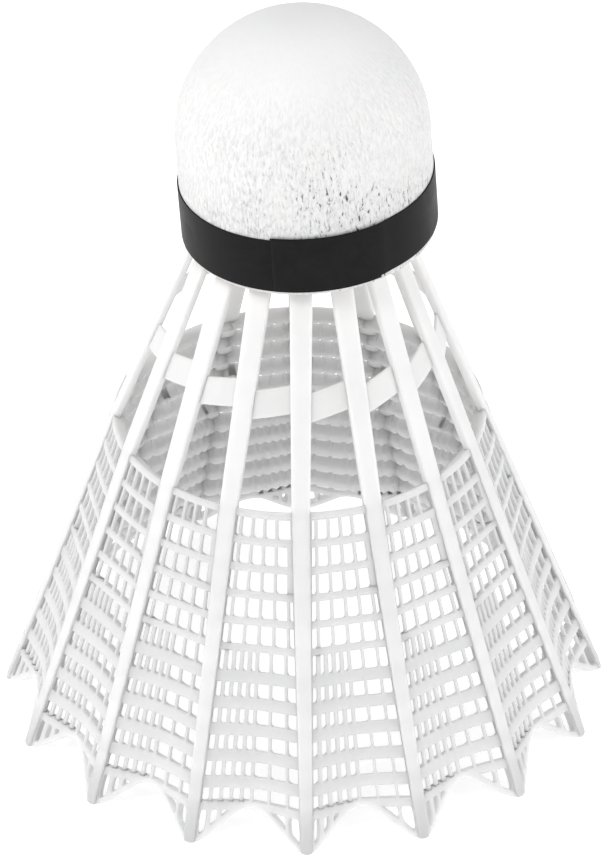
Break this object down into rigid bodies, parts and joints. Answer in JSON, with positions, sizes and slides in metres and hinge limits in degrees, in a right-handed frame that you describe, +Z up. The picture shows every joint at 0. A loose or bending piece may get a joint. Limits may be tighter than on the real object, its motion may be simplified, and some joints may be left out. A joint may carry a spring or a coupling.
{
  "type": "badminton shuttlecock",
  "caption": "Plastic-skirted badminton shuttlecock: a domed leather-covered head with black tape on a flared nylon skirt of ribs, hoop and pleated net.",
  "frame": {"origin": "centre of the skirt's rim, on the plane that the rib tips stand on", "axes": "+Z up along the skirt's axis towards the head; one rib points to -Y"},
  "size_m": [0.0648, 0.0648, 0.0817],
  "materials": {
    "cork": "matte",
    "head_leather": "fine wrinkled grain, satin",
    "black_tape": "satin",
    "skirt_nylon": "translucent moulded nylon, satin"
  },
  "bodies": {
    "root": {"head_core": "cork", "head_cover": "head_leather", "tape_band": "black_tape", "skirt_collar": "skirt_nylon", "rib_01": "skirt_nylon", "rib_02": "skirt_nylon", "rib_03": "skirt_nylon", "rib_04": "skirt_nylon", "rib_05": "skirt_nylon", "rib_06": "skirt_nylon", "rib_07": "skirt_nylon", "rib_08": "skirt_nylon", "rib_09": "skirt_nylon", "rib_10": "skirt_nylon", "rib_11": "skirt_nylon", "rib_12": "skirt_nylon", "rib_13": "skirt_nylon", "rib_14": "skirt_nylon", "rib_15": "skirt_nylon", "rib_16": "skirt_nylon", "hoop_01": "skirt_nylon", "hoop_02": "skirt_nylon", "hoop_03": "skirt_nylon", "hoop_04": "skirt_nylon", "hoop_05": "skirt_nylon", "hoop_06": "skirt_nylon", "hoop_07": "skirt_nylon", "hoop_08": "skirt_nylon", "hoop_09": "skirt_nylon", "hoop_10": "skirt_nylon", "hoop_11": "skirt_nylon", "hoop_12": "skirt_nylon", "hoop_13": "skirt_nylon", "hoop_14": "skirt_nylon", "hoop_15": "skirt_nylon", "hoop_16": "skirt_nylon", "net_panel_01": "skirt_nylon", "net_panel_02": "skirt_nylon", "net_panel_03": "skirt_nylon", "net_panel_04": "skirt_nylon", "net_panel_05": "skirt_nylon", "net_panel_06": "skirt_nylon", "net_panel_07": "skirt_nylon", "net_panel_08": "skirt_nylon", "net_panel_09": "skirt_nylon", "net_panel_10": "skirt_nylon", "net_panel_11": "skirt_nylon", "net_panel_12": "skirt_nylon", "net_panel_13": "skirt_nylon", "net_panel_14": "skirt_nylon", "net_panel_15": "skirt_nylon", "net_panel_16": "skirt_nylon"}
  },
  "joints": []
}
